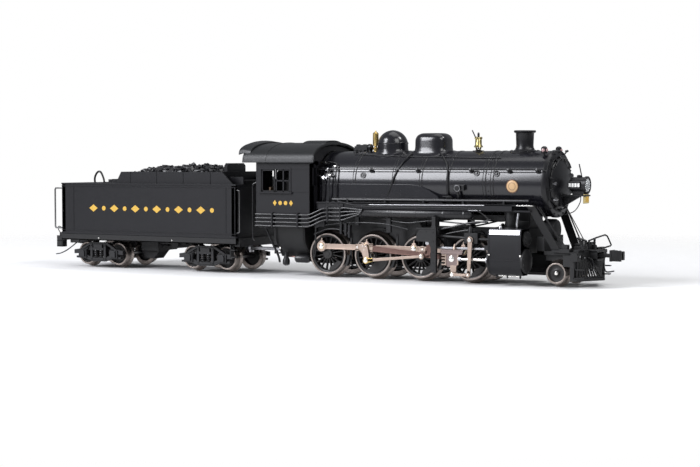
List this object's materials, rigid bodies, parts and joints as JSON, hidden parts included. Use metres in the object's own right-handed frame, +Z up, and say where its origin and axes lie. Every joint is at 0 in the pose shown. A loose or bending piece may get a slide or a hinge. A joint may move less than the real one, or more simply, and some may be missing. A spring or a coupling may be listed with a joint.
{
  "type": "model steam locomotive",
  "caption": "Small-scale model of a steam locomotive with leading truck, coupled drivers with outside rods and valve gear, and a tender on swivelling trucks.",
  "frame": {"origin": "mid length over the couplers, on the track's centre line, at the top of the rails (wheel flanges reach 0.5 mm below)", "axes": "+X forward along the locomotive, +Y to its left, +Z up"},
  "size_m": [0.1316, 0.0192, 0.0296],
  "materials": {
    "boiler_paint": "semi-gloss black",
    "cab_paint": "satin charcoal black",
    "frame_black": "matte black",
    "frame_metal": "blackened cast metal",
    "tyre_steel": "bright tread, blackened spokes",
    "rod_steel": "plated, slightly brown",
    "gilt": "polished brass",
    "shaft_steel": "ground steel",
    "motor_can": "plated steel can",
    "lens": "clear moulded lens",
    "coal_black": "rough, slightly glossy lumps",
    "truck_black": "matte black moulding"
  },
  "bodies": {
    "chassis": {"frame_right": "frame_metal", "frame_left": "frame_metal", "keeper_plate": "frame_black", "boiler_shell": "boiler_paint", "smokebox_front": "boiler_paint", "smokestack": "boiler_paint", "sand_dome": "boiler_paint", "steam_dome": "boiler_paint", "bell": "gilt", "whistle": "gilt", "safety_valves": "boiler_paint", "cab_shell": "cab_paint", "cab_roof": "cab_paint", "backhead": "frame_black", "ashpan": "frame_black", "headlight": "frame_black", "headlight_lens": "lens", "running_board_right": "cab_paint", "running_board_left": "cab_paint", "pilot": "frame_black", "cylinder_block": "boiler_paint", "guide_yoke": "frame_black", "motor": "motor_can"},
    "main_driver": {"driver_2": "tyre_steel", "eccentric_crank_right": "rod_steel", "eccentric_crank_left": "rod_steel"},
    "driver_1": {"driver_1": "tyre_steel"},
    "driver_3": {"driver_3": "tyre_steel"},
    "driver_4": {"driver_4": "tyre_steel"},
    "motor_shaft": {"motor_shaft": "shaft_steel"},
    "side_rod_right": {"side_rod_right": "rod_steel"},
    "main_rod_right": {"main_rod_right": "rod_steel"},
    "eccentric_rod_right": {"eccentric_rod_right": "rod_steel"},
    "expansion_link_right": {"expansion_link_right": "frame_black"},
    "crosshead_right": {"crosshead_right": "rod_steel"},
    "combination_lever_right": {"combination_lever_right": "rod_steel"},
    "union_link_right": {"union_link_right": "rod_steel"},
    "side_rod_left": {"side_rod_left": "rod_steel"},
    "main_rod_left": {"main_rod_left": "rod_steel"},
    "eccentric_rod_left": {"eccentric_rod_left": "rod_steel"},
    "expansion_link_left": {"expansion_link_left": "frame_black"},
    "crosshead_left": {"crosshead_left": "rod_steel"},
    "combination_lever_left": {"combination_lever_left": "rod_steel"},
    "union_link_left": {"union_link_left": "rod_steel"},
    "pony_truck": {"pony_truck": "frame_black"},
    "pony_wheelset": {"pony_wheelset": "tyre_steel"},
    "front_coupler": {"front_coupler": "frame_black"},
    "front_knuckle": {"front_knuckle": "frame_black"},
    "drawbar": {"drawbar": "frame_black"},
    "tender": {"tender_tank": "cab_paint", "coal_load": "coal_black", "tender_frame": "truck_black"},
    "rear_coupler": {"rear_coupler": "frame_black"},
    "rear_knuckle": {"rear_knuckle": "frame_black"},
    "tender_truck_front": {"tender_truck_front": "truck_black"},
    "tender_wheelset_1": {"tender_wheelset_1": "tyre_steel"},
    "tender_wheelset_2": {"tender_wheelset_2": "tyre_steel"},
    "tender_truck_rear": {"tender_truck_rear": "truck_black"},
    "tender_wheelset_3": {"tender_wheelset_3": "tyre_steel"},
    "tender_wheelset_4": {"tender_wheelset_4": "tyre_steel"}
  },
  "joints": [
    {"name": "main_driver_spin", "type": "hinge", "parent": "chassis", "child": "main_driver", "pos_m": [0.01575, 0, 0.00425], "axis": [0, 1, 0], "continuous": true},
    {"name": "driver_1_spin", "type": "hinge", "parent": "chassis", "child": "driver_1", "pos_m": [0.0053, 0, 0.00425], "axis": [0, 1, 0], "continuous": true},
    {"name": "driver_3_spin", "type": "hinge", "parent": "chassis", "child": "driver_3", "pos_m": [0.02635, 0, 0.00425], "axis": [0, 1, 0], "continuous": true},
    {"name": "driver_4_spin", "type": "hinge", "parent": "chassis", "child": "driver_4", "pos_m": [0.03705, 0, 0.00425], "axis": [0, 1, 0], "continuous": true},
    {"name": "motor_shaft_spin", "type": "hinge", "parent": "chassis", "child": "motor_shaft", "pos_m": [0.01575, 0, 0.0086], "axis": [1, 0, 0], "continuous": true},
    {"name": "side_rod_right_pivot", "type": "hinge", "parent": "main_driver", "child": "side_rod_right", "pos_m": [0.01469, -0.00627, 0.00577], "axis": [0, 1, 0], "continuous": true},
    {"name": "main_rod_right_pivot", "type": "hinge", "parent": "main_driver", "child": "main_rod_right", "pos_m": [0.01469, -0.00692, 0.00577], "axis": [0, 1, 0], "continuous": true},
    {"name": "eccentric_rod_right_pivot", "type": "hinge", "parent": "main_driver", "child": "eccentric_rod_right", "pos_m": [0.01533, -0.00778, 0.00333], "axis": [0, 1, 0], "continuous": true},
    {"name": "expansion_link_right_rock", "type": "hinge", "parent": "chassis", "child": "expansion_link_right", "pos_m": [0.02915, -0.00735, 0.0072], "axis": [0, -1, 0], "range_deg": [-12, 12]},
    {"name": "crosshead_right_slide", "type": "slide", "parent": "chassis", "child": "crosshead_right", "axis": [1, 0, 0], "range_m": [-0.0007, 0.00295]},
    {"name": "combination_lever_right_swing", "type": "hinge", "parent": "chassis", "child": "combination_lever_right", "pos_m": [0.03835, -0.0083, 0.008], "axis": [0, -1, 0], "range_deg": [-6.2, 25.5]},
    {"name": "union_link_right_pivot", "type": "hinge", "parent": "crosshead_right", "child": "union_link_right", "pos_m": [0.03471, -0.00865, 0.00131], "axis": [0, -1, 0], "range_deg": [-1.7, 6.7]},
    {"name": "side_rod_left_pivot", "type": "hinge", "parent": "main_driver", "child": "side_rod_left", "pos_m": [0.01726, 0.00627, 0.00531], "axis": [0, 1, 0], "continuous": true},
    {"name": "main_rod_left_pivot", "type": "hinge", "parent": "main_driver", "child": "main_rod_left", "pos_m": [0.01726, 0.00692, 0.00531], "axis": [0, 1, 0], "continuous": true},
    {"name": "eccentric_rod_left_pivot", "type": "hinge", "parent": "main_driver", "child": "eccentric_rod_left", "pos_m": [0.01483, 0.00778, 0.00467], "axis": [0, 1, 0], "continuous": true},
    {"name": "expansion_link_left_rock", "type": "hinge", "parent": "chassis", "child": "expansion_link_left", "pos_m": [0.02915, 0.00735, 0.0072], "axis": [0, -1, 0], "range_deg": [-12, 12]},
    {"name": "crosshead_left_slide", "type": "slide", "parent": "chassis", "child": "crosshead_left", "axis": [1, 0, 0], "range_m": [-0.0033, 0.00035]},
    {"name": "combination_lever_left_swing", "type": "hinge", "parent": "chassis", "child": "combination_lever_left", "pos_m": [0.03835, 0.0083, 0.008], "axis": [0, -1, 0], "range_deg": [-28.5, 3.2]},
    {"name": "union_link_left_pivot", "type": "hinge", "parent": "crosshead_left", "child": "union_link_left", "pos_m": [0.03732, 0.00865, 0.00131], "axis": [0, -1, 0], "range_deg": [-7.5, 0.9]},
    {"name": "pony_truck_swivel", "type": "hinge", "parent": "chassis", "child": "pony_truck", "pos_m": [0.04035, 0, 0.0016], "axis": [0, 0, 1], "range_deg": [-10, 10]},
    {"name": "pony_wheelset_spin", "type": "hinge", "parent": "pony_truck", "child": "pony_wheelset", "pos_m": [0.0548, 0, 0.00209], "axis": [0, 1, 0], "continuous": true},
    {"name": "front_coupler_swing", "type": "hinge", "parent": "chassis", "child": "front_coupler", "pos_m": [0.05985, 0, 0.00536], "axis": [0, 0, 1], "range_deg": [-8, 8]},
    {"name": "front_knuckle_open", "type": "hinge", "parent": "front_coupler", "child": "front_knuckle", "pos_m": [0.0648, 0.00095, 0.00536], "axis": [0, 0, 1], "range_deg": [0, 35]},
    {"name": "drawbar_swing", "type": "hinge", "parent": "chassis", "child": "drawbar", "pos_m": [-0.00845, 0, 0.0045], "axis": [0, 0, 1], "range_deg": [-8, 8]},
    {"name": "tender_swing", "type": "hinge", "parent": "drawbar", "child": "tender", "pos_m": [-0.01745, 0, 0.0045], "axis": [0, 0, 1], "range_deg": [-8, 8]},
    {"name": "rear_coupler_swing", "type": "hinge", "parent": "tender", "child": "rear_coupler", "pos_m": [-0.06125, 0, 0.00536], "axis": [0, 0, 1], "range_deg": [-8, 8]},
    {"name": "rear_knuckle_open", "type": "hinge", "parent": "rear_coupler", "child": "rear_knuckle", "pos_m": [-0.0648, 0.00095, 0.00536], "axis": [0, 0, 1], "range_deg": [-35, 0]},
    {"name": "tender_truck_front_swivel", "type": "hinge", "parent": "tender", "child": "tender_truck_front", "pos_m": [-0.02385, 0, 0.0045], "axis": [0, 0, 1], "range_deg": [-12, 12]},
    {"name": "tender_wheelset_1_spin", "type": "hinge", "parent": "tender_truck_front", "child": "tender_wheelset_1", "pos_m": [-0.01955, 0, 0.00255], "axis": [0, 1, 0], "continuous": true},
    {"name": "tender_wheelset_2_spin", "type": "hinge", "parent": "tender_truck_front", "child": "tender_wheelset_2", "pos_m": [-0.02815, 0, 0.00255], "axis": [0, 1, 0], "continuous": true},
    {"name": "tender_truck_rear_swivel", "type": "hinge", "parent": "tender", "child": "tender_truck_rear", "pos_m": [-0.05265, 0, 0.0045], "axis": [0, 0, 1], "range_deg": [-12, 12]},
    {"name": "tender_wheelset_3_spin", "type": "hinge", "parent": "tender_truck_rear", "child": "tender_wheelset_3", "pos_m": [-0.04835, 0, 0.00255], "axis": [0, 1, 0], "continuous": true},
    {"name": "tender_wheelset_4_spin", "type": "hinge", "parent": "tender_truck_rear", "child": "tender_wheelset_4", "pos_m": [-0.05695, 0, 0.00255], "axis": [0, 1, 0], "continuous": true}
  ],
  "couplings": [
    {"joint": "driver_1_spin", "follows": "main_driver_spin", "ratio": 1},
    {"joint": "driver_3_spin", "follows": "main_driver_spin", "ratio": 1},
    {"joint": "driver_4_spin", "follows": "main_driver_spin", "ratio": 1},
    {"joint": "motor_shaft_spin", "follows": "main_driver_spin", "ratio": 20},
    {"joint": "side_rod_right_pivot", "follows": "main_driver_spin", "ratio": -1},
    {"joint": "main_rod_right_pivot", "follows": "main_driver_spin", "ratio": -1},
    {"joint": "eccentric_rod_right_pivot", "follows": "main_driver_spin", "ratio": -1},
    {"joint": "combination_lever_right_swing", "follows": "crosshead_right_slide", "rad_per_m": 150},
    {"joint": "union_link_right_pivot", "follows": "crosshead_right_slide", "rad_per_m": 38.7},
    {"joint": "side_rod_left_pivot", "follows": "main_driver_spin", "ratio": -1},
    {"joint": "main_rod_left_pivot", "follows": "main_driver_spin", "ratio": -1},
    {"joint": "eccentric_rod_left_pivot", "follows": "main_driver_spin", "ratio": -1},
    {"joint": "combination_lever_left_swing", "follows": "crosshead_left_slide", "rad_per_m": 150},
    {"joint": "union_link_left_pivot", "follows": "crosshead_left_slide", "rad_per_m": 39}
  ]
}
